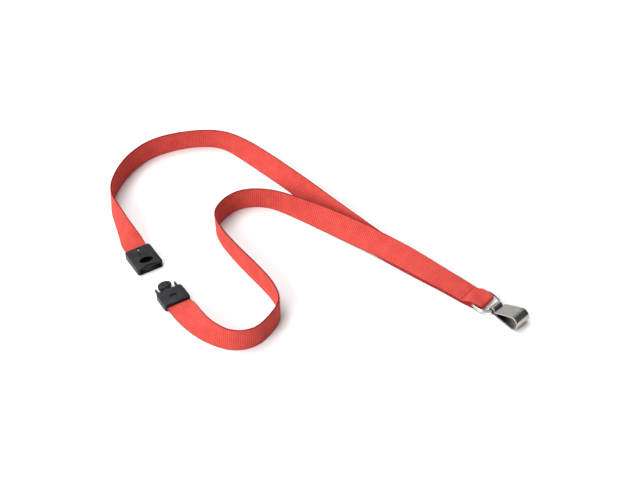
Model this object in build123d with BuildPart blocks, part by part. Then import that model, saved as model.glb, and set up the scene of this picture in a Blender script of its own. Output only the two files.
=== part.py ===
from build123d import *
import math
import os

os.makedirs("parts", exist_ok=True)

# A neck lanyard laid on a table: one length of flat woven strap, folded round a split ring and stitched,
# with a strip-steel badge clip on the ring and one half of a plug-in safety clasp on each free end.
# Millimetres, +Z up, the table at z = 0.

# ---- driving dimensions ------------------------------------------------------------------------------
STRAP_W = 15.0  # webbing width
STRAP_T = 1.0  # webbing thickness

CLASP_AT = (-105.25, 22.3)  # centre of the socket half on the table
CLASP_ANGLE = -58.0  # from the socket half towards the plug half, about +Z
CLASP_PITCH = 38.1  # between the centres of the two halves, unplugged
SHELL_W = 16.4
SHELL_H = 5.0
SOCKET_L = 18.8
PLUG_L = 12.5
STRAP_GRIP = 5.0  # length of strap held inside each half
END_PLAY = 0.1  # the slot for it is longer by this
GRIP_GAP = 0.02  # play over the strap where the shells hold it
LOW_CHAMFER = 0.4
TOP_CHAMFER = 0.6
PLAY = 0.05  # between pieces that fit into each other

LOOP_L = 13.2  # from the seam to the outside of the fold
LOOP_END_W = 12.8  # the fold is gathered, so it is narrower than the strap

RING_AT = (94.34, -13.04)
RING_R = 7.9  # to the middle of the wire
WIRE_R = 0.5
RING_Z = 2.2

HOLD_ANGLE = -41.0  # from the ring's centre towards the wire that the clip's eye holds
CLIP_ANGLE = -45.0
STRIP_T = 0.8  # steel strip of the clip
EYE_R = 2.2  # outside of the rolled eye
EYE_W = 7.4
EYE_BACK = 0.66  # the eye's axis is this far inside the wire's middle, because the wire curves
CLIP_BEND_S = 15.15  # from the eye to the crease where the leaf begins
CLIP_H = 8.8  # height of the crease
BASE_W = 11.4  # strip width at the front of the clip
CREASE_W = 10.6
LEAF_TIP_S = 2.5
LEAF_TIP_Z = 2.62  # underside of the leaf at its tip
LEAF_TIP_W = 9.8
LEAF_GAP = 0.02  # between leaf and bend at the crease

# Route of each leg of the strap, from the seam to its clasp half: x, y, roll and lift of the middle line.
# Roll is 0 or 180 where the strap lies flat and 90 where it stands on its edge; lift is above resting height.
LEG_REAR = [
    (85.2, -6.2, 180, 0.0),
    (76.8, 1.0, 176, 0.0),
    (62.5, 11.5, 171, 0.0),
    (33.0, 34.5, 152, 0.0),
    (7.5, 60.0, 128, 0.0),
    (-14.5, 85.5, 111, 0.0),
    (-34.5, 106.5, 114, 0.0),
    (-50.0, 121.5, 108, 0.0),
    (-64.5, 132.0, 88, 0.0),
    (-80.0, 133.0, 84, 0.0),
    (-96.5, 129.0, 87, 0.0),
    (-111.0, 121.5, 91, 0.0),
    (-122.5, 107.0, 93, 0.0),
    (-129.0, 89.5, 92, 0.0),
    (-131.0, 71.0, 88, 0.0),
    (-122.5, 52.0, 72, 0.0),
    (-116.9, 40.4, 48, 0.2),
    (-113.1, 35.0, 14, 1.0),
    (-110.2, 30.3, 0, 2.0),
]
LEG_FRONT = [
    (85.2, -6.2, 180, 1.0),
    (76.8, 1.0, 176, 1.05),
    (66.5, 8.2, 167, 1.2),
    (51.5, 20.0, 156, 1.4),
    (31.0, 34.5, 140, 0.8),
    (12.5, 46.8, 126, 0.2),
    (-4.5, 57.5, 112, 0.0),
    (-20.0, 66.5, 100, 0.0),
    (-33.5, 73.0, 90, 0.0),
    (-49.0, 72.5, 91, 0.0),
    (-59.5, 64.0, 94, 0.0),
    (-65.2, 51.0, 92, 0.0),
    (-60.5, 38.0, 91, 0.0),
    (-52.5, 25.5, 89, 0.0),
    (-44.0, 13.5, 87, 0.0),
    (-35.0, 1.5, 87, 0.0),
    (-27.0, -10.5, 89, 0.0),
    (-22.5, -23.5, 91, 0.0),
    (-28.0, -36.0, 92, 0.0),
    (-36.5, -47.0, 90, 0.0),
    (-50.0, -49.3, 94, 0.0),
    (-63.3, -41.2, 109, 0.0),
    (-71.6, -31.6, 130, 0.3),
    (-77.2, -22.6, 158, 1.2),
    (-81.7, -15.3, 180, 2.0),
]
STATION_STEP = 6.0  # spacing of the strap's cross-sections

# The fold carries straight on from the legs' first run.
SEAM_AT = LEG_REAR[0][:2]
LOOP_ANGLE = math.degrees(math.atan2(SEAM_AT[1] - LEG_REAR[1][1], SEAM_AT[0] - LEG_REAR[1][0]))


# ---- helpers -----------------------------------------------------------------------------------------
def direction(angle):
    return Vector(math.cos(math.radians(angle)), math.sin(math.radians(angle)), 0)


def level_plane(at, angle, z=0.0):
    """A level plane whose own x axis points along angle."""
    return Plane(origin=(at[0], at[1], z), x_dir=direction(angle), z_dir=(0, 0, 1))


def side_plane(at, angle, z=0.0):
    """An upright plane with x along angle and y up."""
    across = direction(angle - 90)
    return Plane(origin=(at[0], at[1], z), x_dir=direction(angle), z_dir=across)


def corner_radii(points):
    """The largest gentle arc at each corner of a route: 0.45 of its shorter run over tan(half the turn)."""
    radii = []
    for before, here, after in zip(points, points[1:], points[2:]):
        run_in = Vector(*here) - Vector(*before)
        run_out = Vector(*after) - Vector(*here)
        turn = math.radians(run_in.get_angle(run_out))
        radii.append(0.45 * min(run_in.length, run_out.length) / math.tan(turn / 2))
    return radii


def route_value(points, share, column):
    """Roll or lift at a share of the route's length, straight between the route's points."""
    runs = [math.dist(a[:2], b[:2]) for a, b in zip(points, points[1:])]
    left = share * sum(runs)
    for run, a, b in zip(runs, points, points[1:]):
        if left <= run:
            return a[column] + (b[column] - a[column]) * left / run
        left -= run
    return points[-1][column]


def strap_section(x, y, heading, roll, lift):
    """The plane of one cross-section of the strap, its x axis across the webbing."""
    turn = math.radians(roll)
    rest = STRAP_W / 2 * abs(math.sin(turn)) + STRAP_T / 2 * abs(math.cos(turn))
    left = Vector(-heading.Y, heading.X, 0)
    across = left * math.cos(turn) + Vector(0, 0, 1) * math.sin(turn)
    return Plane(origin=(x, y, rest + lift), x_dir=across, z_dir=heading)


def strap_sections(name, points):
    """Cross-sections along a leg: straight runs joined by tangent arcs in plan, then straight into the clasp."""
    corners = [point[:2] for point in points]
    radii = corner_radii(corners)
    with BuildLine() as route:
        FilletPolyline(*corners, radius=radii)
    length = route.wire().length
    print(f"{name}: {length:.1f} mm in plan, arc radii {[round(r) for r in radii]}")
    steps = math.ceil(length / STATION_STEP)
    planes = []
    for i in range(steps + 1):
        share = i / steps
        at = route.wire() @ share
        heading = route.wire() % share
        roll = route_value(points, share, 2)
        planes.append(strap_section(at.X, at.Y, heading, roll, route_value(points, share, 3)))
    end = planes[-1]
    planes.append(Plane(origin=end.origin + end.z_dir * STRAP_GRIP, x_dir=end.x_dir, z_dir=end.z_dir))
    centres = [plane.origin for plane in planes]
    middle = sum((b - a).length for a, b in zip(centres, centres[1:]))
    print(f"{name}: middle line {middle:.1f} mm, section x length {middle * STRAP_W * STRAP_T:.0f} mm3")
    return planes


# ---- strap -------------------------------------------------------------------------------------------
with BuildPart() as strap_leg_rear:
    for section in strap_sections("strap_leg_rear", LEG_REAR):
        with BuildSketch(section):
            Rectangle(STRAP_W, STRAP_T)
    loft(ruled=True)

with BuildPart() as strap_leg_front:
    for section in strap_sections("strap_leg_front", LEG_FRONT):
        with BuildSketch(section):
            Rectangle(STRAP_W, STRAP_T)
    loft(ruled=True)

# The fold round the ring: two layers that part behind the seam, join at the fold and are gathered there.
WIRE_PLAY = 0.2  # between the ring's wire and the top layer
LOOP_TOP = RING_Z + 2 * WIRE_R + WIRE_PLAY + STRAP_T
LOOP_END_R = LOOP_TOP / 2
FOLD_S = LOOP_L - LOOP_END_R
PART_S = 0.8  # the layers part here
RISE_S = 2.1  # and the top layer is clear of the ring from here on
with BuildPart() as ring_loop:
    with BuildSketch(side_plane(SEAM_AT, LOOP_ANGLE)):
        with BuildLine():
            Polyline((0, 0), (FOLD_S, 0))
            ThreePointArc((FOLD_S, 0), (LOOP_L, LOOP_END_R), (FOLD_S, LOOP_TOP))
            Polyline((FOLD_S, LOOP_TOP), (RISE_S, LOOP_TOP), (0, 2 * STRAP_T), (0, 0))
        make_face()
        with BuildLine():
            Polyline((PART_S, STRAP_T), (FOLD_S, STRAP_T))
            ThreePointArc((FOLD_S, STRAP_T), (LOOP_L - STRAP_T, LOOP_END_R), (FOLD_S, LOOP_TOP - STRAP_T))
            Polyline((FOLD_S, LOOP_TOP - STRAP_T), (RISE_S, LOOP_TOP - STRAP_T), (PART_S, STRAP_T))
        make_face(mode=Mode.SUBTRACT)
    extrude(amount=STRAP_W / 2, both=True)
    with BuildSketch(level_plane(SEAM_AT, LOOP_ANGLE)):
        with BuildLine():
            Polyline(
                (0, -STRAP_W / 2),
                (LOOP_L, -LOOP_END_W / 2),
                (LOOP_L, LOOP_END_W / 2),
                (0, STRAP_W / 2),
                close=True,
            )
        make_face()
    extrude(amount=LOOP_TOP, mode=Mode.INTERSECT)

# One row of stitches across both legs beside the fold, lying on the upper leg.
STITCH_L = 1.5
STITCH_W = 0.5
STITCH_H = 0.25
STITCH_PITCH = 2.1
STITCH_COUNT = 6
STITCH_BACK = 1.2  # from the end of the legs
STITCH_Z = 2.2 * STRAP_T  # underside, just over the two legs
stitch_at = Vector(*SEAM_AT) - direction(LOOP_ANGLE) * STITCH_BACK
with BuildPart() as seam_stitches:
    with BuildSketch(level_plane((stitch_at.X, stitch_at.Y), LOOP_ANGLE, STITCH_Z)):
        with GridLocations(0, STITCH_PITCH, 1, STITCH_COUNT):
            SlotOverall(STITCH_L, STITCH_W, rotation=90)
    extrude(amount=STITCH_H)

# ---- clasp: socket half ------------------------------------------------------------------------------
MID_Z = SHELL_H / 2  # the two shells of each half meet here
GRIP_W = STRAP_W + 0.2
GRIP_H = STRAP_T + 2 * GRIP_GAP
MOUTH_S = SOCKET_L / 2
CAVITY_L = 12.6  # depth of the socket
CAVITY_W = 14.0
CAVITY_H = 3.2
WINDOW_S = 3.4  # middle of the oval window
WINDOW_W = 8.6
WINDOW_L = 4.9
SCOOP_W = 8.6  # shallow scoop in the cover's front edge
SCOOP_L = 3.2
SCOOP_D = 0.65
PIN_S = -6.9
PIN_R = 1.1
PIN_FILLET = 0.4
EDGE_R = 1.0
OPENING = 0.5  # how far a cut reaches out past an open end


def clasp_plane(s, z=0.0):
    """A level plane with x along the clasp, s in front of the middle of the socket half."""
    at = Vector(*CLASP_AT) + direction(CLASP_ANGLE) * s
    return level_plane((at.X, at.Y), CLASP_ANGLE, z)


# The room inside: the socket, open at the mouth, and the slot that holds the strap's end, open at the back.
with BuildPart() as socket_room:
    with BuildSketch(clasp_plane(MOUTH_S - CAVITY_L / 2 + OPENING, MID_Z - CAVITY_H / 2)):
        Rectangle(CAVITY_L + 2 * OPENING, CAVITY_W)
    extrude(amount=CAVITY_H)
    with BuildSketch(clasp_plane(-MOUTH_S + STRAP_GRIP / 2 - OPENING, MID_Z - GRIP_H / 2)):
        Rectangle(STRAP_GRIP + 2 * OPENING + END_PLAY, GRIP_W)
    extrude(amount=GRIP_H)

with BuildPart() as socket_base:
    with BuildSketch(clasp_plane(0)):
        RectangleRounded(SOCKET_L, SHELL_W, EDGE_R)
    extrude(amount=MID_Z)
    chamfer(socket_base.faces().sort_by(Axis.Z)[0].edges(), LOW_CHAMFER)
    add(socket_room.part, mode=Mode.SUBTRACT)

with BuildPart() as socket_cover:
    with BuildSketch(clasp_plane(0, MID_Z)):
        RectangleRounded(SOCKET_L, SHELL_W, EDGE_R)
    extrude(amount=MID_Z)
    chamfer(socket_cover.faces().sort_by(Axis.Z)[-1].edges(), TOP_CHAMFER)
    add(socket_room.part, mode=Mode.SUBTRACT)
    with BuildSketch(clasp_plane(WINDOW_S, MID_Z)):
        Ellipse(WINDOW_L / 2, WINDOW_W / 2)
    extrude(amount=SHELL_H, mode=Mode.SUBTRACT)
    with BuildSketch(clasp_plane(PIN_S, MID_Z + GRIP_H / 2)):
        Circle(PIN_R)
    extrude(amount=SHELL_H, mode=Mode.SUBTRACT)
    with BuildSketch(clasp_plane(MOUTH_S, SHELL_H - SCOOP_D)):
        Ellipse(SCOOP_L / 2, SCOOP_W / 2)
    extrude(amount=SHELL_H, mode=Mode.SUBTRACT)

# A headed pin in the cover's round hole, pressing on the strap's end.
with BuildPart() as strap_pin:
    with BuildSketch(clasp_plane(PIN_S, MID_Z + GRIP_H / 2)):
        Circle(PIN_R - PLAY)
    extrude(amount=SHELL_H - TOP_CHAMFER - MID_Z - GRIP_H / 2)
    fillet(strap_pin.faces().sort_by(Axis.Z)[-1].edges(), PIN_FILLET)

# ---- clasp: plug half --------------------------------------------------------------------------------
PLUG_FRONT_S = CLASP_PITCH - PLUG_L / 2
PLUG_BACK_S = CLASP_PITCH + PLUG_L / 2
HEAD_W = 8.4
HEAD_L = 6.0
HEAD_H = 2.8
HEAD_GAP = 5.0  # from the front of the body to the middle of the head
NECK_W = 3.6
NECK_H = 2.0
PRONG_L = 4.4
PRONG_W = 1.1
PRONG_Y = 6.2
PRONG_H = 2.4
ROOT = 0.5  # how far neck and prongs run back into the body
ROOT_POCKET_L = 1.2  # room for them in the cover
RECESS_W = 4.8  # oval recess in the plug's cover
RECESS_L = 2.6
RECESS_D = 0.7
RECESS_BACK = 0.6  # behind the middle of the plug

with BuildPart() as plug_room:
    with BuildSketch(clasp_plane(PLUG_BACK_S - STRAP_GRIP / 2 + OPENING, MID_Z - GRIP_H / 2)):
        Rectangle(STRAP_GRIP + 2 * OPENING + END_PLAY, GRIP_W)
    extrude(amount=GRIP_H)

with BuildPart() as plug_base:
    with BuildSketch(clasp_plane(CLASP_PITCH)):
        RectangleRounded(PLUG_L, SHELL_W, EDGE_R)
    extrude(amount=MID_Z)
    chamfer(plug_base.faces().sort_by(Axis.Z)[0].edges(), LOW_CHAMFER)
    with BuildSketch(clasp_plane(PLUG_FRONT_S - HEAD_GAP, MID_Z - HEAD_H / 2)):
        Ellipse(HEAD_L / 2, HEAD_W / 2)
    extrude(amount=HEAD_H)
    with BuildSketch(clasp_plane(PLUG_FRONT_S - HEAD_GAP / 2, MID_Z - PRONG_H / 2)):
        Rectangle(HEAD_GAP + 2 * ROOT, NECK_W)
    extrude(amount=NECK_H)
    for side in (-1, 1):
        with BuildSketch(clasp_plane(PLUG_FRONT_S, MID_Z - PRONG_H / 2)):
            with BuildLine():
                Polyline(
                    (ROOT, side * (PRONG_Y - PRONG_W / 2)),
                    (-PRONG_L, side * (PRONG_Y - PRONG_W / 4)),
                    (-PRONG_L, side * (PRONG_Y + PRONG_W / 4)),
                    (ROOT, side * (PRONG_Y + PRONG_W / 2)),
                    close=True,
                )
            make_face()
        extrude(amount=PRONG_H)
    add(plug_room.part, mode=Mode.SUBTRACT)

with BuildPart() as plug_cover:
    with BuildSketch(clasp_plane(CLASP_PITCH, MID_Z)):
        RectangleRounded(PLUG_L, SHELL_W, EDGE_R)
    extrude(amount=MID_Z)
    chamfer(plug_cover.faces().sort_by(Axis.Z)[-1].edges(), TOP_CHAMFER)
    with BuildSketch(clasp_plane(PLUG_FRONT_S, MID_Z)):
        Rectangle(ROOT_POCKET_L, SHELL_W - 2 * ROOT_POCKET_L)
    extrude(amount=PRONG_H / 2 + PLAY, mode=Mode.SUBTRACT)
    with BuildSketch(clasp_plane(CLASP_PITCH + RECESS_BACK, SHELL_H - RECESS_D)):
        Ellipse(RECESS_L / 2, RECESS_W / 2)
    extrude(amount=SHELL_H, mode=Mode.SUBTRACT)
    add(plug_room.part, mode=Mode.SUBTRACT)

# ---- split ring --------------------------------------------------------------------------------------
# Two turns of wire, one on the other.
with BuildPart() as split_ring:
    with BuildSketch(side_plane(RING_AT, HOLD_ANGLE)):
        with Locations((RING_R, RING_Z - WIRE_R), (RING_R, RING_Z + WIRE_R)):
            Circle(WIRE_R)
        with Locations((RING_R, RING_Z)):
            Rectangle(WIRE_R, WIRE_R)
    revolve(axis=Axis((RING_AT[0], RING_AT[1], 0), (0, 0, 1)))

# ---- badge clip --------------------------------------------------------------------------------------
eye_at = Vector(*RING_AT) + direction(HOLD_ANGLE) * RING_R - direction(CLIP_ANGLE) * EYE_BACK
EYE_AT = (eye_at.X, eye_at.Y)
EYE_BORE_R = EYE_R - STRIP_T
BEND_R = CLIP_H / 2
CLIP_L = CLIP_BEND_S + BEND_R

with BuildPart() as clip_body:
    with BuildSketch(side_plane(EYE_AT, CLIP_ANGLE)):
        with BuildLine():
            Polyline((0, 0), (CLIP_BEND_S, 0))
            ThreePointArc((CLIP_BEND_S, 0), (CLIP_L, BEND_R), (CLIP_BEND_S, CLIP_H))
            Polyline((CLIP_BEND_S, CLIP_H), (CLIP_BEND_S, CLIP_H - STRIP_T))
            ThreePointArc(
                (CLIP_BEND_S, CLIP_H - STRIP_T), (CLIP_L - STRIP_T, BEND_R), (CLIP_BEND_S, STRIP_T)
            )
            Polyline((CLIP_BEND_S, STRIP_T), (0, STRIP_T), (0, 0))
        make_face()
    extrude(amount=BASE_W / 2, both=True)
    # plan outline, widening from the eye to the front
    with BuildSketch(level_plane(EYE_AT, CLIP_ANGLE)):
        with BuildLine():
            Polyline(
                (0, -EYE_W / 2),
                (CLIP_BEND_S, -BASE_W / 2),
                (CLIP_L + 1, -BASE_W / 2),
                (CLIP_L + 1, BASE_W / 2),
                (CLIP_BEND_S, BASE_W / 2),
                (0, EYE_W / 2),
                close=True,
            )
        make_face()
    extrude(amount=CLIP_H, mode=Mode.INTERSECT)
    # end outline: the bend narrows upwards to the crease
    with BuildSketch(Plane(origin=(*EYE_AT, 0), x_dir=direction(CLIP_ANGLE + 90), z_dir=direction(CLIP_ANGLE))):
        with BuildLine():
            Polyline(
                (-BASE_W / 2, 0),
                (BASE_W / 2, 0),
                (BASE_W / 2, STRIP_T),
                (CREASE_W / 2, CLIP_H),
                (-CREASE_W / 2, CLIP_H),
                (-BASE_W / 2, STRIP_T),
                close=True,
            )
        make_face()
    extrude(amount=CLIP_L + 1, both=True, mode=Mode.INTERSECT)
    # the rolled eye
    with BuildSketch(side_plane(EYE_AT, CLIP_ANGLE)):
        with Locations((0, EYE_R)):
            Circle(EYE_R)
            Circle(EYE_BORE_R, mode=Mode.SUBTRACT)
    extrude(amount=EYE_W / 2, both=True)

with BuildPart() as clip_leaf:
    with BuildSketch(side_plane(EYE_AT, CLIP_ANGLE)):
        with BuildLine():
            Polyline(
                (CLIP_BEND_S - LEAF_GAP, CLIP_H),
                (LEAF_TIP_S, LEAF_TIP_Z + STRIP_T),
                (LEAF_TIP_S, LEAF_TIP_Z),
                (CLIP_BEND_S - LEAF_GAP, CLIP_H - STRIP_T),
                close=True,
            )
        make_face()
    extrude(amount=CREASE_W / 2, both=True)
    with BuildSketch(level_plane(EYE_AT, CLIP_ANGLE)):
        with BuildLine():
            Polyline(
                (LEAF_TIP_S, -LEAF_TIP_W / 2),
                (CLIP_BEND_S, -CREASE_W / 2),
                (CLIP_BEND_S, CREASE_W / 2),
                (LEAF_TIP_S, LEAF_TIP_W / 2),
                close=True,
            )
        make_face()
    extrude(amount=CLIP_H, mode=Mode.INTERSECT)

# ---- export ------------------------------------------------------------------------------------------
strap_leg_rear.part.label = "strap_leg_rear"
export_step(strap_leg_rear.part, "parts/strap_leg_rear.step")
strap_leg_front.part.label = "strap_leg_front"
export_step(strap_leg_front.part, "parts/strap_leg_front.step")
ring_loop.part.label = "ring_loop"
export_step(ring_loop.part, "parts/ring_loop.step")
seam_stitches.part.label = "seam_stitches"
export_step(seam_stitches.part, "parts/seam_stitches.step")
socket_base.part.label = "socket_base"
export_step(socket_base.part, "parts/socket_base.step")
socket_cover.part.label = "socket_cover"
export_step(socket_cover.part, "parts/socket_cover.step")
strap_pin.part.label = "strap_pin"
export_step(strap_pin.part, "parts/strap_pin.step")
plug_base.part.label = "plug_base"
export_step(plug_base.part, "parts/plug_base.step")
plug_cover.part.label = "plug_cover"
export_step(plug_cover.part, "parts/plug_cover.step")
split_ring.part.label = "split_ring"
export_step(split_ring.part, "parts/split_ring.step")
clip_body.part.label = "clip_body"
export_step(clip_body.part, "parts/clip_body.step")
clip_leaf.part.label = "clip_leaf"
export_step(clip_leaf.part, "parts/clip_leaf.step")
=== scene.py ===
import math

import bpy
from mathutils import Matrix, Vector


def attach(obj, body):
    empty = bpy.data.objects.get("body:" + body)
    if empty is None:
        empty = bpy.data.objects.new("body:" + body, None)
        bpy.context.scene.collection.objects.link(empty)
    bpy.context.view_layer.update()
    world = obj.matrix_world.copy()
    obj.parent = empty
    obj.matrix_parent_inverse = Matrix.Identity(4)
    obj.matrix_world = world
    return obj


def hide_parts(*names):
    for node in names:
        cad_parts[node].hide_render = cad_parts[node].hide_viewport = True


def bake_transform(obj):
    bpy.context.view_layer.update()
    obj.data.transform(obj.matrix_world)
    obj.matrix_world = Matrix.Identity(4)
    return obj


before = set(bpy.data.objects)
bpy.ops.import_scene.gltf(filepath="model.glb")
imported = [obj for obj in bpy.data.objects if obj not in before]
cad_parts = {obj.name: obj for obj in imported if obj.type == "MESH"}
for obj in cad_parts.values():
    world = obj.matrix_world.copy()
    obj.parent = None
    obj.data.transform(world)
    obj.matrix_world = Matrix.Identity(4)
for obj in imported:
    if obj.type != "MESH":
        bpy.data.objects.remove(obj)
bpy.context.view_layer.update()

# A flat woven neck lanyard on a pale floor. Metres, +Z up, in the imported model's frame.
MM = 0.001

STRAP_W = 15.0 * MM
STRAP_T = 1.0 * MM
STRAP_GRIP = 5.0 * MM  # held inside each clasp half
RIB = 1.2 * MM  # pitch of the ribs across the webbing
YARN = 1.25 * MM  # pitch of its lengthwise yarns
STATION = RIB / 4  # between cross-sections of the woven strap

# ---- camera ------------------------------------------------------------------------------------------
CAMERA_ELEVATION = math.radians(42.25)
CAMERA_DISTANCE = 0.788
LOOK_AT = Vector((-0.0007, 0.042, 0.0))
camera = bpy.data.objects.new("camera", bpy.data.cameras.new("camera"))
camera.data.sensor_width = 36.0
camera.data.lens = 73.07
camera.data.clip_start = 0.01
camera.location = LOOK_AT + CAMERA_DISTANCE * Vector(
    (0, -math.cos(CAMERA_ELEVATION), math.sin(CAMERA_ELEVATION))
)
camera.rotation_euler = (math.pi / 2 - CAMERA_ELEVATION, 0, 0)
bpy.context.scene.collection.objects.link(camera)
bpy.context.scene.camera = camera
bpy.context.scene.view_settings.view_transform = "Standard"

# ---- routes ------------------------------------------------------------------------------------------
# Each leg from the seam to its clasp half: x, y, roll in degrees and lift of the middle line. Roll is 0 or
# 180 where the strap lies flat and 90 where it stands on its edge; lift is above resting height.
LEG_REAR = [
    (0.0852, -0.0062, 180, 0.0),
    (0.0768, 0.0010, 176, 0.0),
    (0.0625, 0.0115, 171, 0.0),
    (0.0330, 0.0345, 152, 0.0),
    (0.0075, 0.0600, 128, 0.0),
    (-0.0145, 0.0855, 111, 0.0),
    (-0.0345, 0.1065, 114, 0.0),
    (-0.0500, 0.1215, 108, 0.0),
    (-0.0645, 0.1320, 88, 0.0),
    (-0.0800, 0.1330, 84, 0.0),
    (-0.0965, 0.1290, 87, 0.0),
    (-0.1110, 0.1215, 91, 0.0),
    (-0.1225, 0.1070, 93, 0.0),
    (-0.1290, 0.0895, 92, 0.0),
    (-0.1310, 0.0710, 88, 0.0),
    (-0.1225, 0.0520, 72, 0.0),
    (-0.1169, 0.0404, 48, 0.0002),
    (-0.1131, 0.0350, 14, 0.0010),
    (-0.1102, 0.0303, 0, 0.0020),
]
LEG_FRONT = [
    (0.0852, -0.0062, 180, 0.0010),
    (0.0768, 0.0010, 176, 0.00105),
    (0.0665, 0.0082, 167, 0.0012),
    (0.0515, 0.0200, 156, 0.0014),
    (0.0310, 0.0345, 140, 0.0008),
    (0.0125, 0.0468, 126, 0.0002),
    (-0.0045, 0.0575, 112, 0.0),
    (-0.0200, 0.0665, 100, 0.0),
    (-0.0335, 0.0730, 90, 0.0),
    (-0.0490, 0.0725, 91, 0.0),
    (-0.0595, 0.0640, 94, 0.0),
    (-0.0652, 0.0510, 92, 0.0),
    (-0.0605, 0.0380, 91, 0.0),
    (-0.0525, 0.0255, 89, 0.0),
    (-0.0440, 0.0135, 87, 0.0),
    (-0.0350, 0.0015, 87, 0.0),
    (-0.0270, -0.0105, 89, 0.0),
    (-0.0225, -0.0235, 91, 0.0),
    (-0.0280, -0.0360, 92, 0.0),
    (-0.0365, -0.0470, 90, 0.0),
    (-0.0500, -0.0493, 94, 0.0),
    (-0.0633, -0.0412, 109, 0.0),
    (-0.0716, -0.0316, 130, 0.0003),
    (-0.0772, -0.0226, 158, 0.0012),
    (-0.0817, -0.0153, 180, 0.0020),
]
SPLINE_STEPS = 64  # points that a spline gives for each of its spans


def spline_line(points):
    """The points of the NURBS spline with these control points, as a curve with no bevel gives them."""
    data = bpy.data.curves.new("route", "CURVE")
    data.dimensions = "3D"
    data.resolution_u = SPLINE_STEPS
    spline = data.splines.new("NURBS")
    spline.points.add(len(points) - 1)
    for point, place in zip(spline.points, points):
        point.co = (*place, 1)
    spline.order_u = 3
    spline.use_endpoint_u = True
    spline.resolution_u = SPLINE_STEPS
    curve = bpy.data.objects.new("route", data)
    mesh = bpy.data.meshes.new_from_object(curve)
    line = [vertex.co.copy() for vertex in mesh.vertices]
    bpy.data.objects.remove(curve)
    bpy.data.curves.remove(data)
    bpy.data.meshes.remove(mesh)
    return line


def tangents(line):
    ends = zip([line[0]] + line[:-1], line[1:] + [line[-1]])
    return [(after - before).normalized() for before, after in ends]


def strap_stations(route):
    """Cross-sections along a leg: (middle, across, out of the face, distance from the seam)."""
    plan = spline_line([(x, y, 0) for x, y, _, _ in route])
    turned = spline_line([(roll, lift, 0) for _, _, roll, lift in route])
    rolls = [math.radians(place.x) for place in turned]
    line = []
    for place, turn, roll in zip(plan, turned, rolls):
        upright = math.sqrt(math.sin(roll) ** 2 + 1e-4)
        rest = STRAP_W / 2 * upright + STRAP_T / 2 * abs(math.cos(roll))
        line.append(Vector((place.x, place.y, rest + turn.y)))
    held = (line[-1] - line[-2]).normalized()
    held.z = 0
    line.append(line[-1] + held.normalized() * STRAP_GRIP)
    rolls.append(rolls[-1])
    along = tangents(line)
    stations = []
    passed = 0.0
    due = 0.0
    for i in range(len(line) - 1):
        run = (line[i + 1] - line[i]).length
        while due <= passed + run:
            share = (due - passed) / run
            heading = along[i].lerp(along[i + 1], share).normalized()
            roll = rolls[i] + (rolls[i + 1] - rolls[i]) * share
            level = Vector((-heading.y, heading.x, 0)).normalized()
            across = level * math.cos(roll) + heading.cross(level) * math.sin(roll)
            stations.append((line[i].lerp(line[i + 1], share), across, across.cross(heading), due))
            due += STATION
        passed += run
    return stations


# ---- mesh helpers ------------------------------------------------------------------------------------
def mesh_object(name, vertices, faces, material=None, smooth=True):
    mesh = bpy.data.meshes.new(name)
    mesh.from_pydata(vertices, [], faces)
    mesh.validate()
    mesh.update()
    obj = bpy.data.objects.new(name, mesh)
    bpy.context.scene.collection.objects.link(obj)
    if smooth:
        mesh.polygons.foreach_set("use_smooth", [True] * len(mesh.polygons))
    if material:
        mesh.materials.append(material)
    return obj


def skin(rings):
    """Vertices and faces that join rings of equal length, with a cap on each end."""
    size = len(rings[0])
    vertices = [point for ring in rings for point in ring]
    faces = []
    count = len(rings)
    for i in range(count - 1):
        a, b = i * size, (i + 1) * size
        for j in range(size):
            k = (j + 1) % size
            faces.append((a + j, a + k, b + k, b + j))
    faces.append(tuple(reversed(range(size))))
    faces.append(tuple(range((count - 1) * size, count * size)))
    return vertices, faces


def add_places(obj, places):
    """Stores each vertex's place on the strap, (along, across, 0), for the weave."""
    attribute = obj.data.attributes.new("strap_place", "FLOAT_VECTOR", "POINT")
    attribute.data.foreach_set("vector", [value for place in places for value in place])


# ---- woven strap -------------------------------------------------------------------------------------
RIB_DEPTH = 0.05 * MM
YARN_DEPTH = 0.05 * MM
RIB_PULL = 0.006  # how far the edges draw in at each rib, as a share of the width
YARN_COUNT = 11
SELVEDGES = ((7.2 * MM, 0.45 * MM), (7.43 * MM, 0.26 * MM))  # across, half thickness


def strap_columns():
    """Places round the webbing's cross-section: (across, side, half thickness or None where woven)."""
    half = YARN_COUNT * YARN / 2
    woven = [(-half + i * YARN / 2, None) for i in range(2 * YARN_COUNT + 1)]
    right = list(SELVEDGES)
    left = [(-v, h) for v, h in reversed(SELVEDGES)]
    face = left + woven + right
    edge = STRAP_W / 2
    top = [(v, 1, h) for v, h in face]
    under = [(v, -1, h) for v, h in reversed(face)]
    return [(-edge, 0, 0.0)] + top + [(edge, 0, 0.0)] + under


def strap_mesh(name, stations, widths, rises=None):
    """Woven webbing along stations. widths scales each section; rises(station, across) lifts it."""
    columns = strap_columns()
    rings = []
    places = []
    for i, (middle, across, out, s) in enumerate(stations):
        scale = widths[i]
        phase = math.pi * s / RIB
        rib = 0.5 - 0.5 * math.cos(2 * phase)
        ring = []
        for v, side, half in columns:
            if side == 0:
                v = v * (1 - RIB_PULL * rib)
                height = 0.0
            elif half is None:
                over = math.cos(phase) * math.cos(math.pi * v / YARN + (0 if side > 0 else math.pi))
                height = side * (STRAP_T / 2 - RIB_DEPTH * rib + YARN_DEPTH * (over - 1) / 2)
            else:
                height = side * (half - 0.5 * RIB_DEPTH * rib)
            place = middle + across * (v * scale) + out * height
            if rises:
                place.z += rises(i, v * scale)
            ring.append(place)
            places.append((s, v, side * 0.5))
        rings.append(ring)
    obj = mesh_object(name, *skin(rings))
    add_places(obj, places)
    return obj


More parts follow.
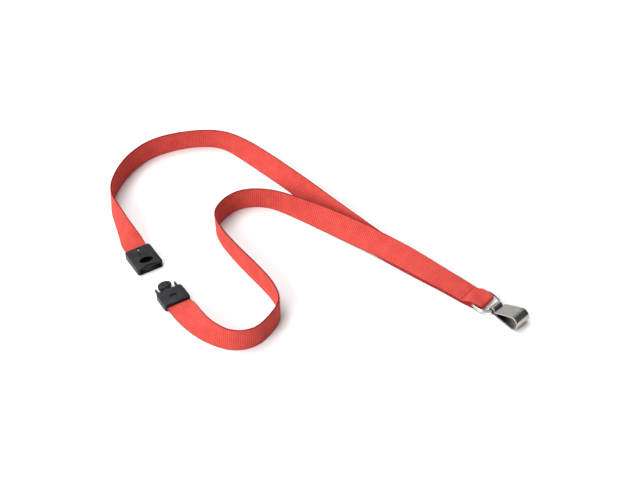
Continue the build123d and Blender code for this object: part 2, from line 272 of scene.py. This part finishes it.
PULL = 0.035  # how much narrower a leg is where it is pulled flat, as a share
PULL_START, PULL_FULL = 8 * MM, 20 * MM  # places along the leg, from the seam
PULL_LAST, PULL_END = 60 * MM, 90 * MM
PINCH_START, PINCH_FULL = 38 * MM, 16 * MM  # before the leg's end
REAR_PINCH = 0.12
FRONT_PINCH = 0.04


def ease(value, low, high):
    """0 below low, 1 above high, and an even curve between."""
    share = min(1.0, max(0.0, (value - low) / (high - low)))
    return share * share * (3 - 2 * share)


def leg_widths(stations, pinch):
    """A leg is a little narrower where it is pulled flat, and pinched on its way into the clasp."""
    end = stations[-1][3]
    widths = []
    for _, _, _, s in stations:
        pulled = PULL * ease(s, PULL_START, PULL_FULL) * (1 - ease(s, PULL_LAST, PULL_END))
        entry = pinch * ease(s, end - PINCH_START, end - PINCH_FULL)
        widths.append(1 - pulled - entry)
    return widths


rear_stations = strap_stations(LEG_REAR)
front_stations = strap_stations(LEG_FRONT)
rear_leg = strap_mesh("webbing_rear_leg", rear_stations, leg_widths(rear_stations, REAR_PINCH))
front_leg = strap_mesh("webbing_front_leg", front_stations, leg_widths(front_stations, FRONT_PINCH))
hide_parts("strap_leg_rear")
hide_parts("strap_leg_front")
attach(rear_leg, "strap")

# The near bow carries the plug half's slide.
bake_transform(front_leg)

# ---- fold round the ring -----------------------------------------------------------------------------
SEAM = Vector((LEG_REAR[0][0], LEG_REAR[0][1], 0))
LOOP_ANGLE = math.atan2(LEG_REAR[0][1] - LEG_REAR[1][1], LEG_REAR[0][0] - LEG_REAR[1][0])
LOOP_L = 13.2 * MM
LOOP_END_W = 12.8 * MM
LOOP_END_H = 3.4 * MM  # over both layers at the fold
RING_AT = Vector((0.09434, -0.01304, 0))
RING_R = 7.9 * MM
WIRE_R = 0.5 * MM
RING_Z = 2.2 * MM
WIRE_PLAY = 0.25 * MM
OVER_WIRE = RING_Z + 2 * WIRE_R + WIRE_PLAY + STRAP_T / 2  # middle of the top layer over the wire


def heading(angle):
    return Vector((math.cos(angle), math.sin(angle), 0))


def side_point(at, angle, s, z):
    return at + heading(angle) * s + Vector((0, 0, z))


def arc_points(centre, radius, start, end, count):
    """Points (s, z) on an arc, angles in degrees."""
    turn = [math.radians(start + (end - start) * i / count) for i in range(count + 1)]
    return [(centre[0] + radius * math.cos(a), centre[1] + radius * math.sin(a)) for a in turn]


def even_line(points, step):
    """The polyline's points resampled step apart, with its last point."""
    out = []
    passed = due = 0.0
    for a, b in zip(points, points[1:]):
        run = math.dist(a, b)
        while due <= passed + run:
            share = (due - passed) / run if run else 0
            out.append(tuple(p + (q - p) * share for p, q in zip(a, b)))
            due += step
        passed += run
    return out + [points[-1]]


def side_stations(line, at, angle):
    """Cross-sections along a line in an upright plane, as strap_stations gives them."""
    points = [side_point(at, angle, s, z) for s, z in line]
    across = heading(angle - math.pi / 2)
    stations = []
    passed = 0.0
    for i, (point, along) in enumerate(zip(points, tangents(points))):
        if i:
            passed += (point - points[i - 1]).length
        stations.append((point, across, across.cross(along), passed))
    return stations


DIP_S = 4.0 * MM  # from the seam to where the top layer has sunk by DIP
DIP = 0.3 * MM
FOLD_R = (LOOP_END_H - STRAP_T) / 2
FOLD_S = LOOP_L - STRAP_T / 2 - FOLD_R
fold = even_line(
    [(0, STRAP_T / 2), (FOLD_S, STRAP_T / 2)]
    + arc_points((FOLD_S, STRAP_T / 2 + FOLD_R), FOLD_R, -90, 90, 24)
    + [(DIP_S, STRAP_T / 2 + 2 * FOLD_R - DIP), (0, 1.5 * STRAP_T)],
    STATION,
)
RING_S = (RING_AT - SEAM).dot(heading(LOOP_ANGLE))  # the ring's middle, from the seam
NEAR_WIRE = 0.6 * MM  # the top layer is lifted in full this near the wire
SINK_OUTSIDE = 3.4 * MM  # it has sunk back at this distance outside the ring
SINK_INSIDE = 11 * MM  # and, more slowly, inside it
SEAM_RISE = 1.9 * MM  # length of the rise beside the seam


def fold_rise(i, v):
    """The top layer rides over the ring's wire and sinks on either side of it."""
    s, z = fold[i]
    if z < LOOP_END_H / 2:
        return 0.0
    away = math.hypot(s - RING_S, v) - RING_R
    sink = SINK_OUTSIDE if away > 0 else SINK_INSIDE
    near = 1 - ease(abs(away), NEAR_WIRE, sink)
    return (OVER_WIRE - z) * near * ease(s, 0, SEAM_RISE)


fold_widths = [1 - (1 - LOOP_END_W / STRAP_W) * max(0, s) / LOOP_L for s, _ in fold]
strap_fold = strap_mesh("webbing_fold", side_stations(fold, SEAM, LOOP_ANGLE), fold_widths, fold_rise)
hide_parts("ring_loop")
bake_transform(strap_fold)

# ---- seam --------------------------------------------------------------------------------------------
STITCH_PITCH = 2.1 * MM
STITCH_L = 1.6 * MM
STITCH_BACK = 1.2 * MM
STITCH_COUNT = 6
STITCH_STEPS = 12
STITCH_SLANT = 0.12 * MM
STITCH_Z = 2.02 * STRAP_T  # middle of the thread where it enters the strap
THREAD_R = 0.24 * MM


def tube(line, radius, sides=10):
    """Rings round a 3-D line, for skin."""
    rings = []
    for point, along in zip(line, tangents(line)):
        level = along.cross(Vector((0, 0, 1)))
        level = level.normalized() if level.length > 1e-6 else Vector((1, 0, 0))
        up = level.cross(along)
        turn = [2 * math.pi * k / sides for k in range(sides)]
        rings.append([point + (level * math.cos(a) + up * math.sin(a)) * radius for a in turn])
    return rings


def joined(parts):
    """One vertex and face list from several."""
    vertices, faces = [], []
    for some, more in parts:
        base = len(vertices)
        vertices += some
        faces += [tuple(k + base for k in face) for face in more]
    return vertices, faces


seam_parts = []
along_strap = heading(LOOP_ANGLE)
across_strap = heading(LOOP_ANGLE + math.pi / 2)
for row in range(STITCH_COUNT):
    place = (row - (STITCH_COUNT - 1) / 2) * STITCH_PITCH
    centre = SEAM - along_strap * STITCH_BACK + across_strap * place
    line = []
    for i in range(STITCH_STEPS + 1):
        share = i / STITCH_STEPS * 2 - 1
        over = STITCH_Z + (1 - share ** 4) * THREAD_R * 1.1
        slant = along_strap * share * STITCH_SLANT
        line.append(centre + across_strap * share * STITCH_L / 2 + slant + Vector((0, 0, over)))
    seam_parts.append(skin(tube(line, THREAD_R)))
seam_thread = mesh_object("seam_thread", *joined(seam_parts))
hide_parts("seam_stitches")
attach(seam_thread, "strap")

# ---- split ring --------------------------------------------------------------------------------------
# Two turns of wire; the lower one crosses up to the upper one over a sixth of a turn, away from the clip.
RING_START = math.radians(60)
RING_STEPS = 288
RING_CROSSING = 0.5  # half its length, in radians
RING_OPENING = 0.01  # by which the wire falls short of two turns, as a share
ring_line = []
for i in range(RING_STEPS + 1):
    turn = 4 * math.pi * i / RING_STEPS
    height = -1 + 2 * ease(turn, 2 * math.pi - RING_CROSSING, 2 * math.pi + RING_CROSSING)
    angle = RING_START + turn * (1 - RING_OPENING)
    ring_line.append(RING_AT + heading(angle) * RING_R + Vector((0, 0, RING_Z + height * WIRE_R)))
ring_wire = mesh_object("split_ring_wire", *skin(tube(ring_line, WIRE_R, 14)))
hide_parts("split_ring")
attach(ring_wire, "ring")

# ---- badge clip --------------------------------------------------------------------------------------
HOLD_ANGLE = math.radians(-41)
CLIP_ANGLE = math.radians(-45)
STRIP_T = 0.8 * MM
EYE_R = 2.2 * MM
EYE_W = 7.4 * MM
EYE_BACK = 0.66 * MM
CLIP_BEND_S = 15.15 * MM
CLIP_H = 8.8 * MM
BASE_W = 11.4 * MM
CREASE_W = 10.6 * MM
LEAF_TIP_S = 2.5 * MM
LEAF_TIP_Z = 2.62 * MM
LEAF_TIP_W = 9.8 * MM
LEAF_GAP = 0.02 * MM  # between leaf and bend at the crease
LEAF_BOW = 0.22 * MM
LEAF_NOSE = 1.0 * MM  # rounding of the leaf's tip
LEAF_STEPS = 48
CUT_R = 0.17 * MM  # rounding of the strip's cut edges
FLAT_STEPS = 9  # across the strip's faces
EYE_AT = RING_AT + heading(HOLD_ANGLE) * RING_R - heading(CLIP_ANGLE) * EYE_BACK


def strip_rings(line, widths):
    """Rings of a rounded strip section along a line (s, z) in the clip's upright plane."""
    points = [side_point(EYE_AT, CLIP_ANGLE, s, z) for s, z in line]
    across = heading(CLIP_ANGLE - math.pi / 2)
    outs = [across.cross(along) for along in tangents(points)]
    corner = [(1 - math.cos(a), 1 - math.sin(a)) for a in (0, math.pi / 6, math.pi / 3, math.pi / 2)]
    rings = []
    for point, out, width in zip(points, outs, widths):
        half, thick = width / 2, STRIP_T / 2
        ring = []
        for sv, sh, order in ((1, 1, 1), (-1, 1, -1), (-1, -1, 1), (1, -1, -1)):
            for dv, dh in corner[::order]:
                v = sv * (half - CUT_R * dv)
                h = sh * (thick - CUT_R * dh)
                ring.append(point + across * v + out * h)
            if sh == sv:
                flat = [1 - 2 * k / FLAT_STEPS for k in range(1, FLAT_STEPS)]
                ring += [point + across * sv * (half - CUT_R) * f + out * sh * thick for f in flat]
        rings.append(ring)
    return rings


ROLL_END = -42  # degrees; the roll's free end
BASE_STEPS = 30
roll = arc_points((0, EYE_R), EYE_R - STRIP_T / 2, ROLL_END, 270, 60)
base = [(CLIP_BEND_S * i / BASE_STEPS, STRIP_T / 2) for i in range(1, BASE_STEPS + 1)]
bend = arc_points((CLIP_BEND_S, CLIP_H / 2), (CLIP_H - STRIP_T) / 2, -90, 90, 36)[1:]
clip_widths = [EYE_W] * len(roll)
clip_widths += [EYE_W + (BASE_W - EYE_W) * s / CLIP_BEND_S for s, _ in base]
clip_widths += [BASE_W + (CREASE_W - BASE_W) * z / CLIP_H for _, z in bend]
clip_strip = mesh_object("clip_strip", *skin(strip_rings(roll + base + bend, clip_widths)))

leaf_line = []
leaf_widths = []
for i in range(LEAF_STEPS + 1):
    share = i / LEAF_STEPS
    s = CLIP_BEND_S - LEAF_GAP + (LEAF_TIP_S - CLIP_BEND_S) * share
    bow = LEAF_BOW * math.sin(math.pi * share)
    leaf_line.append((s, CLIP_H - STRIP_T / 2 + (LEAF_TIP_Z + STRIP_T - CLIP_H) * share + bow))
    left = (1 - share) * (CLIP_BEND_S - LEAF_TIP_S)
    nose = LEAF_NOSE * (1 - math.sqrt(1 - max(0.0, 1 - left / LEAF_NOSE) ** 2))
    leaf_widths.append(CREASE_W + (LEAF_TIP_W - CREASE_W) * share - 2 * nose)
clip_leaf_strip = mesh_object("clip_leaf_strip", *skin(strip_rings(leaf_line, leaf_widths)))
for piece, node, body in ((clip_strip, "clip_body", "clip"), (clip_leaf_strip, "clip_leaf", "leaf")):
    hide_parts(node)
    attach(piece, body)

# ---- clasp -------------------------------------------------------------------------------------------
CLASP_AT = Vector((-0.10525, 0.0223, 0))
CLASP_ANGLE = math.radians(-58)
CLASP_PITCH = 38.1 * MM
SHELL_W = 16.4 * MM
SHELL_H = 5.0 * MM
MID_Z = SHELL_H / 2
SOCKET_L = 18.8 * MM
PLUG_L = 12.5 * MM
GRIP_W = 15.2 * MM
GRIP_H = 1.04 * MM
REACH = 1.0 * MM  # how far a cut reaches out past an open end
ABOVE = SHELL_H + REACH  # where the cuts through the covers end
CORNER_R = 1.6 * MM
BASE_ROUND = 0.5 * MM
TOP_ROUND = 0.9 * MM
JOIN_ROUND = 0.08 * MM
JOIN_GAP = 0.03 * MM  # half the width of the parting line
ROUND_STEPS = [math.pi / 2 * i / 5 for i in range(6)]
SHARP = math.radians(28)  # edges sharper than this stay hard after a cut


def clasp_point(s, y, z):
    """s along the clasp from the middle of the socket half, y to its left."""
    return CLASP_AT + heading(CLASP_ANGLE) * s + heading(CLASP_ANGLE + math.pi / 2) * y + Vector((0, 0, z))


def block_outline(length, width, corner, sides=6):
    """Rounded rectangle (s, y)."""
    out = []
    for k, (a, b) in enumerate(((1, 1), (-1, 1), (-1, -1), (1, -1))):
        for i in range(sides + 1):
            turn = math.pi / 2 * (k + i / sides)
            out.append((
                a * (length / 2 - corner) + corner * math.cos(turn),
                b * (width / 2 - corner) + corner * math.sin(turn),
            ))
    return out


def oval_outline(length, width, sides=40):
    turn = [2 * math.pi * i / sides for i in range(sides)]
    return [(length / 2 * math.cos(a), width / 2 * math.sin(a)) for a in turn]


def slab(s, outline, low, high, low_round=0.0, high_round=0.0, y=0.0):
    """An upright prism on the clasp's axis with rounded lower and upper edges."""
    half_l = max(a for a, _ in outline)
    half_w = max(b for _, b in outline)
    levels = [
        (low + low_round * (1 - math.cos(t)), low_round * (1 - math.sin(t)))
        for t in (ROUND_STEPS if low_round else [math.pi / 2])
    ]
    levels += [
        (high - high_round * (1 - math.sin(t)), high_round * (1 - math.cos(t)))
        for t in (ROUND_STEPS if high_round else [0.0])
    ]
    rings = []
    for z, inset in levels:
        a, b = 1 - inset / half_l, 1 - inset / half_w
        rings.append([clasp_point(s + p * a, y + q * b, z) for p, q in outline])
    return skin(rings)


def cut(obj, *cutters):
    """Takes closed shapes out of a mesh."""
    for shape in cutters:
        tool = mesh_object("cutter", *shape, smooth=False)
        hole = obj.modifiers.new("cut", "BOOLEAN")
        hole.operation = "DIFFERENCE"
        hole.solver = "EXACT"
        hole.object = tool
        bpy.context.view_layer.update()
        done = bpy.data.meshes.new_from_object(obj.evaluated_get(bpy.context.evaluated_depsgraph_get()))
        obj.modifiers.clear()
        obj.data = done
        bpy.data.objects.remove(tool)
    obj.data.set_sharp_from_angle(angle=SHARP)


def half_shell(name, s, length, upper):
    """One of the two shells of a clasp half whose middle is s along the clasp."""
    outline = block_outline(length, SHELL_W, CORNER_R)
    if upper:
        return mesh_object(name, *slab(s, outline, MID_Z + JOIN_GAP, SHELL_H, JOIN_ROUND, TOP_ROUND))
    return mesh_object(name, *slab(s, outline, 0, MID_Z - JOIN_GAP, BASE_ROUND, JOIN_ROUND))


def strap_slot(end, inwards):
    """The slot that holds the strap's end, open at one end of a clasp half."""
    outline = block_outline(STRAP_GRIP + 0.1 * MM + REACH, GRIP_W, 0.2 * MM)
    middle = end + inwards * (STRAP_GRIP - REACH) / 2
    return slab(middle, outline, MID_Z - GRIP_H / 2, MID_Z + GRIP_H / 2)


# Socket half.
MOUTH_S = SOCKET_L / 2
CAVITY_L = 12.6 * MM
CAVITY_W = 14.0 * MM
CAVITY_H = 3.2 * MM
WINDOW_S = 3.4 * MM
WINDOW_L = 4.9 * MM
WINDOW_W = 8.6 * MM
SCOOP_L = 3.2 * MM
SCOOP_D = 0.65 * MM
PIN_S = -6.9 * MM
PIN_W = 2.06 * MM
PIN_HOLE_W = 2.4 * MM
PIN_TOP = 4.7 * MM
SLIT_S = -2.0 * MM
SLIT_Y = 1.5 * MM
SLIT_L = 5.6 * MM
SLIT_W = 0.28 * MM
SLIT_D = 0.65 * MM
socket_room = slab(
    MOUTH_S - (CAVITY_L - REACH) / 2,
    block_outline(CAVITY_L + REACH, CAVITY_W, 0.4 * MM),
    MID_Z - CAVITY_H / 2,
    MID_Z + CAVITY_H / 2,
)
socket_slot = strap_slot(-MOUTH_S, 1)
window = slab(WINDOW_S, oval_outline(WINDOW_L, WINDOW_W), MID_Z, ABOVE)
scoop = slab(MOUTH_S, oval_outline(SCOOP_L, WINDOW_W), SHELL_H - SCOOP_D, ABOVE)
pin_hole = slab(PIN_S, oval_outline(PIN_HOLE_W, PIN_HOLE_W, 28), MID_Z + GRIP_H / 2 + 0.4 * MM, ABOVE)
slit = block_outline(SLIT_L, SLIT_W, 0.05 * MM, 2)
slits = [slab(SLIT_S, slit, SHELL_H - SLIT_D, ABOVE, y=side * SLIT_Y) for side in (-1, 1)]
socket_low = half_shell("socket_lower_shell", 0, SOCKET_L, upper=False)
cut(socket_low, socket_room, socket_slot)
socket_high = half_shell("socket_upper_shell", 0, SOCKET_L, upper=True)
cut(socket_high, socket_room, socket_slot, window, pin_hole, scoop, *slits)

# Plug half: a flat oval head on a neck, and a prong on each side.
PLUG_FRONT_S = CLASP_PITCH - PLUG_L / 2
HEAD_GAP = 5.0 * MM  # from the body to the middle of the head
HEAD_L = 6.0 * MM
HEAD_W = 8.4 * MM
HEAD_H = 2.8 * MM
NECK_GAP = 2.2 * MM
NECK_L = 5.4 * MM
NECK_W = 3.6 * MM
NECK_H = 2.0 * MM
PRONG_GAP = 2.0 * MM
PRONG_L = 4.8 * MM
PRONG_W = 1.0 * MM
PRONG_H = 2.4 * MM
PRONG_Y = 6.2 * MM
RECESS_L = 2.6 * MM
RECESS_W = 4.8 * MM
RECESS_D = 0.7 * MM
RECESS_BACK = 0.6 * MM  # behind the middle of the plug
plug_slot = strap_slot(CLASP_PITCH + PLUG_L / 2, -1)
plug_low = half_shell("plug_lower_shell", CLASP_PITCH, PLUG_L, upper=False)
cut(plug_low, plug_slot)
head = oval_outline(HEAD_L, HEAD_W)
neck = block_outline(NECK_L, NECK_W, 0.4 * MM)
prong = block_outline(PRONG_L, PRONG_W, 0.3 * MM)
low = MID_Z - PRONG_H / 2
insert = [
    slab(PLUG_FRONT_S - HEAD_GAP, head, MID_Z - HEAD_H / 2, MID_Z + HEAD_H / 2, 0.5 * MM, 0.8 * MM),
    slab(PLUG_FRONT_S - NECK_GAP, neck, low, low + NECK_H, 0.2 * MM, 0.3 * MM),
]
for side in (-1, 1):
    insert.append(
        slab(PLUG_FRONT_S - PRONG_GAP, prong, low, low + PRONG_H, 0.2 * MM, 0.3 * MM, y=side * PRONG_Y)
    )
plug_insert = mesh_object("plug_insert", *joined(insert))
plug_high = half_shell("plug_upper_shell", CLASP_PITCH, PLUG_L, upper=True)
recess = slab(CLASP_PITCH + RECESS_BACK, oval_outline(RECESS_L, RECESS_W), SHELL_H - RECESS_D, ABOVE)
cut(plug_high, plug_slot, recess)

# Head of the pin that holds the strap in the socket half.
pin_outline = oval_outline(PIN_W, PIN_W, 28)
pin_head = mesh_object(
    "strap_pin_head", *slab(PIN_S, pin_outline, MID_Z + GRIP_H / 2, PIN_TOP, 0.0, 0.5 * MM)
)

for piece, node, body, slot in (
    (socket_low, "socket_base", "strap", "clasp_plastic"),
    (socket_high, "socket_cover", "strap", "clasp_plastic"),
    (pin_head, "strap_pin", "strap", "pin_metal"),
    (plug_low, "plug_base", "plug_half", "clasp_plastic"),
    (plug_insert, "plug_base", "plug_half", "clasp_plastic"),
    (plug_high, "plug_cover", "plug_half", "clasp_plastic"),
):
    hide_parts(node)
    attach(piece, body)


# ---- materials ---------------------------------------------------------------------------------------
class Shader:
    """A Principled material with short ways to add the nodes that vary it."""

    def __init__(self, name, color, roughness, metallic=0.0):
        self.material = bpy.data.materials.new(name)
        self.material.use_nodes = True
        self.tree = self.material.node_tree
        self.main = self.tree.nodes["Principled BSDF"]
        self.set(**{"Base Color": (*color, 1), "Roughness": roughness, "Metallic": metallic})

    def set(self, **values):
        for socket, value in values.items():
            self.main.inputs[socket].default_value = value

    def node(self, kind, settings=(), **inputs):
        made = self.tree.nodes.new(kind)
        for key, value in dict(settings).items():
            setattr(made, key, value)
        for key, value in inputs.items():
            self.feed(made.inputs[int(key[1:])], value)
        return made

    def feed(self, socket, value):
        if isinstance(value, bpy.types.NodeSocket):
            self.tree.links.new(value, socket)
        else:
            socket.default_value = value

    def math(self, operation, a, b=0.0):
        return self.node("ShaderNodeMath", {"operation": operation}, _0=a, _1=b).outputs[0]

    def mix(self, share, a, b):
        made = self.node("ShaderNodeMix", {"data_type": "RGBA"})
        self.feed(made.inputs["Factor"], share)
        self.feed(made.inputs[6], a)
        self.feed(made.inputs[7], b)
        return made.outputs[2]

    def noise(self, scale, detail=3.0, vector=None):
        made = self.node("ShaderNodeTexNoise")
        made.inputs["Scale"].default_value = scale
        made.inputs["Detail"].default_value = detail
        self.feed(made.inputs["Vector"], vector or self.place())
        return made.outputs["Fac"]

    def place(self):
        return self.node("ShaderNodeTexCoord").outputs["Object"]

    def range(self, value, low, high, to_low=0.0, to_high=1.0):
        return self.node(
            "ShaderNodeMapRange", {}, _0=value, _1=low, _2=high, _3=to_low, _4=to_high
        ).outputs[0]

    def bump(self, height, distance, strength=1.0, rounding=0.0):
        made = self.node("ShaderNodeBump")
        made.inputs["Strength"].default_value = strength
        made.inputs["Distance"].default_value = distance
        self.feed(made.inputs["Height"], height)
        if rounding:
            edges = self.node("ShaderNodeBevel", {"samples": 6})
            edges.inputs["Radius"].default_value = rounding
            self.tree.links.new(edges.outputs[0], made.inputs["Normal"])
        self.tree.links.new(made.outputs["Normal"], self.main.inputs["Normal"])

    def color(self, socket):
        self.tree.links.new(socket, self.main.inputs["Base Color"])

    def roughness(self, socket):
        self.tree.links.new(socket, self.main.inputs["Roughness"])


FILAMENT = 0.21 * MM  # pitch of the filaments in a yarn
# Painted shade: the weave's grooves are coloured darker than its raised yarns.
GROOVE_SHADE_RED = (0.24, 0.010, 0.010, 1)
YARN_RED = (0.62, 0.065, 0.053, 1)
FADED_RED = (0.68, 0.10, 0.075, 1)
FUZZ_RED = (0.70, 0.12, 0.09, 1)
# Painted shade along both edges of the strap, where they roll away.
EDGE_SHADE_RED = (0.20, 0.012, 0.012, 1)


def webbing_material():
    shader = Shader("red_webbing", (0.80, 0.085, 0.065), 0.82)
    shader.set(**{"Specular IOR Level": 0.08, "Sheen Weight": 0.05})
    shader.set(**{"Sheen Roughness": 0.5, "Sheen Tint": (1.0, 0.45, 0.40, 1)})
    place = shader.node("ShaderNodeAttribute", {"attribute_name": "strap_place"}).outputs["Vector"]
    split = shader.node("ShaderNodeSeparateXYZ", {}, _0=place)
    along, across = split.outputs[0], split.outputs[1]
    rib = shader.math("COSINE", shader.math("MULTIPLY", along, 2 * math.pi / RIB))
    over = shader.math(
        "MULTIPLY",
        shader.math("COSINE", shader.math("MULTIPLY", along, math.pi / RIB)),
        shader.math("COSINE", shader.math("MULTIPLY", across, math.pi / YARN)),
    )
    lines = shader.math("COSINE", shader.math("MULTIPLY", across, 2 * math.pi / YARN))
    filament = shader.math("SINE", shader.math("MULTIPLY", across, 2 * math.pi / FILAMENT))
    weave = shader.math("ADD", shader.math("MULTIPLY", rib, 0.5), shader.math("MULTIPLY", lines, 0.35))
    weave = shader.math("ADD", weave, shader.math("MULTIPLY", over, 0.3))
    cloudy = shader.noise(160.0, 4.0)
    speck = shader.noise(2600.0, 2.0)
    # Painted shade in the weave: colour darkens from the raised yarns into the grooves.
    depth = shader.range(weave, -0.7, 0.35)
    yarn = shader.mix(depth, GROOVE_SHADE_RED, YARN_RED)
    faded = shader.mix(0.35, yarn, FADED_RED)
    varied = shader.mix(shader.range(cloudy, 0.3, 0.7), yarn, faded)
    fuzz = shader.mix(shader.range(speck, 0.35, 0.75, 0.0, 0.35), varied, FUZZ_RED)
    # Painted shade: the strap darkens towards both edges.
    edge = shader.range(shader.math("ABSOLUTE", across), 6.9 * MM, 7.45 * MM)
    shader.color(shader.mix(edge, fuzz, EDGE_SHADE_RED))
    height = shader.math("ADD", weave, shader.math("MULTIPLY", filament, 0.25))
    shader.bump(shader.math("ADD", height, shader.math("MULTIPLY", speck, 0.8)), 0.05 * MM, 0.8)
    return shader.material


def thread_material():
    shader = Shader("red_thread", (0.82, 0.09, 0.07), 0.6)
    shader.set(**{"Sheen Weight": 0.3})
    fine = shader.noise(3500.0, 3.0)
    dark, bright = (0.36, 0.03, 0.025, 1), (0.70, 0.10, 0.075, 1)
    shader.color(shader.mix(shader.range(fine, 0.3, 0.7), dark, bright))
    shader.bump(fine, 0.03 * MM, 0.6)
    return shader.material


def plastic_material():
    shader = Shader("black_moulded_plastic", (0.012, 0.013, 0.015), 0.36)
    shader.set(**{"Specular IOR Level": 0.22})
    grain = shader.noise(4200.0, 3.0)
    worn = shader.noise(240.0, 5.0)
    dark, grey = (0.006, 0.007, 0.009, 1), (0.016, 0.018, 0.021, 1)
    shader.color(shader.mix(shader.range(worn, 0.35, 0.75), dark, grey))
    shader.roughness(shader.range(worn, 0.3, 0.7, 0.30, 0.46))
    shader.bump(grain, 0.02 * MM, 0.4, 0.22 * MM)
    return shader.material


# Painted shade: the dark brown laid into the clip's folds.
FOLD_SHADE = (0.07, 0.05, 0.04, 1)


def steel_material(name, color, roughness, angle, brushed, shaded_folds=False):
    """Plated steel brushed along angle in plan. Optionally its folds get painted shade, dark brown where
    ambient occlusion finds them.
    """
    shader = Shader(name, color, roughness, 1.0)
    turned = shader.node("ShaderNodeMapping", {"vector_type": "TEXTURE"})
    shader.feed(turned.inputs["Vector"], shader.place())
    turned.inputs["Rotation"].default_value = (0, 0, angle)
    turned.inputs["Scale"].default_value = (12.0, 1.0, 1.0)
    streak = shader.noise(5200.0, 2.0, turned.outputs[0])
    patch = shader.noise(420.0, 3.0)
    shade = tuple(0.72 * c for c in color)
    tone = shader.math("ADD", shader.math("MULTIPLY", streak, brushed), shader.math("MULTIPLY", patch, 0.3))
    plate = shader.mix(shader.range(tone, 0.25, 0.85), (*shade, 1), (*color, 1))
    if shaded_folds:
        # Painted shade: ambient occlusion darkens the steel to dark brown inside its folds.
        room = shader.node("ShaderNodeAmbientOcclusion", {"samples": 8})
        room.inputs["Distance"].default_value = 7 * MM
        plate = shader.mix(shader.range(room.outputs["AO"], 0.25, 0.75), FOLD_SHADE, plate)
    shader.color(plate)
    shader.roughness(shader.range(streak, 0.3, 0.7, roughness - 0.06, roughness + 0.10))
    shader.bump(streak, 0.012 * MM, 0.35 * brushed + 0.05)
    return shader.material


webbing = webbing_material()
thread = thread_material()
plastic = plastic_material()
# The clip's steel gets painted shade inside its folds.
clip_steel = steel_material("brushed_clip_steel", (0.50, 0.475, 0.45), 0.22, CLIP_ANGLE, 0.8, shaded_folds=True)
ring_steel = steel_material("bright_ring_wire", (0.80, 0.79, 0.78), 0.16, 0.0, 0.2)
pin_metal = steel_material("dark_pin_metal", (0.30, 0.30, 0.31), 0.22, 0.0, 0.2)

for pieces, material in (
    ((rear_leg, front_leg, strap_fold), webbing),
    ((seam_thread,), thread),
    ((socket_low, socket_high, plug_low, plug_insert, plug_high), plastic),
    ((pin_head,), pin_metal),
    ((ring_wire,), ring_steel),
    ((clip_strip, clip_leaf_strip), clip_steel),
):
    for piece in pieces:
        piece.data.materials.clear()
        piece.data.materials.append(material)

# ---- floor and light ---------------------------------------------------------------------------------
FLOOR = 3.0  # half its width


def floor_material():
    shader = Shader("pale_floor", (0.94, 0.94, 0.94), 0.9)
    shader.color(shader.mix(shader.noise(30.0, 2.0), (0.93, 0.93, 0.93, 1), (0.95, 0.95, 0.95, 1)))
    return shader.material


floor = mesh_object(
    "floor",
    [(-FLOOR, -FLOOR, 0), (FLOOR, -FLOOR, 0), (FLOOR, FLOOR, 0), (-FLOOR, FLOOR, 0)],
    [(0, 1, 2, 3)],
    floor_material(),
    smooth=False,
)


def area_light(name, location, target, size, power):
    light = bpy.data.lights.new(name, "AREA")
    light.shape = "DISK"
    light.size = size
    light.energy = power
    obj = bpy.data.objects.new(name, light)
    obj.location = location
    obj.rotation_euler = (Vector(target) - Vector(location)).to_track_quat("-Z", "Y").to_euler()
    bpy.context.scene.collection.objects.link(obj)


area_light("key", (-0.95, -1.1, 0.85), (0, 0.03, 0), 0.9, 27)
area_light("top", (-0.5, 0.4, 1.3), (0, 0.03, 0), 1.0, 13)
area_light("rim", (0.75, -0.4, 0.70), (-0.05, 0, 0), 0.18, 1.2)


def studio_world(strength):
    """A bright room whose right side and front are dark, for the metal to reflect."""
    world = bpy.data.worlds.new("studio")
    world.use_nodes = True
    tree = world.node_tree
    direction = tree.nodes.new("ShaderNodeSeparateXYZ")
    tree.links.new(tree.nodes.new("ShaderNodeTexCoord").outputs["Generated"], direction.inputs[0])
    either = tree.nodes.new("ShaderNodeMath")
    either.operation = "MAXIMUM"
    for axis, bright, dark in ((0, 0.05, 0.55), (1, -0.25, -0.7)):
        shade = tree.nodes.new("ShaderNodeMapRange")
        shade.interpolation_type = "SMOOTHSTEP"
        shade.inputs["From Min"].default_value = bright
        shade.inputs["From Max"].default_value = dark
        tree.links.new(direction.outputs[axis], shade.inputs["Value"])
        tree.links.new(shade.outputs[0], either.inputs[axis])
    walls = tree.nodes.new("ShaderNodeMix")
    walls.data_type = "RGBA"
    tree.links.new(either.outputs[0], walls.inputs["Factor"])
    walls.inputs[6].default_value = (0.80, 0.80, 0.80, 1)
    walls.inputs[7].default_value = (0.07, 0.07, 0.07, 1)
    background = tree.nodes["Background"]
    tree.links.new(walls.outputs[2], background.inputs["Color"])
    background.inputs["Strength"].default_value = strength
    bpy.context.scene.world = world


studio_world(1.05)
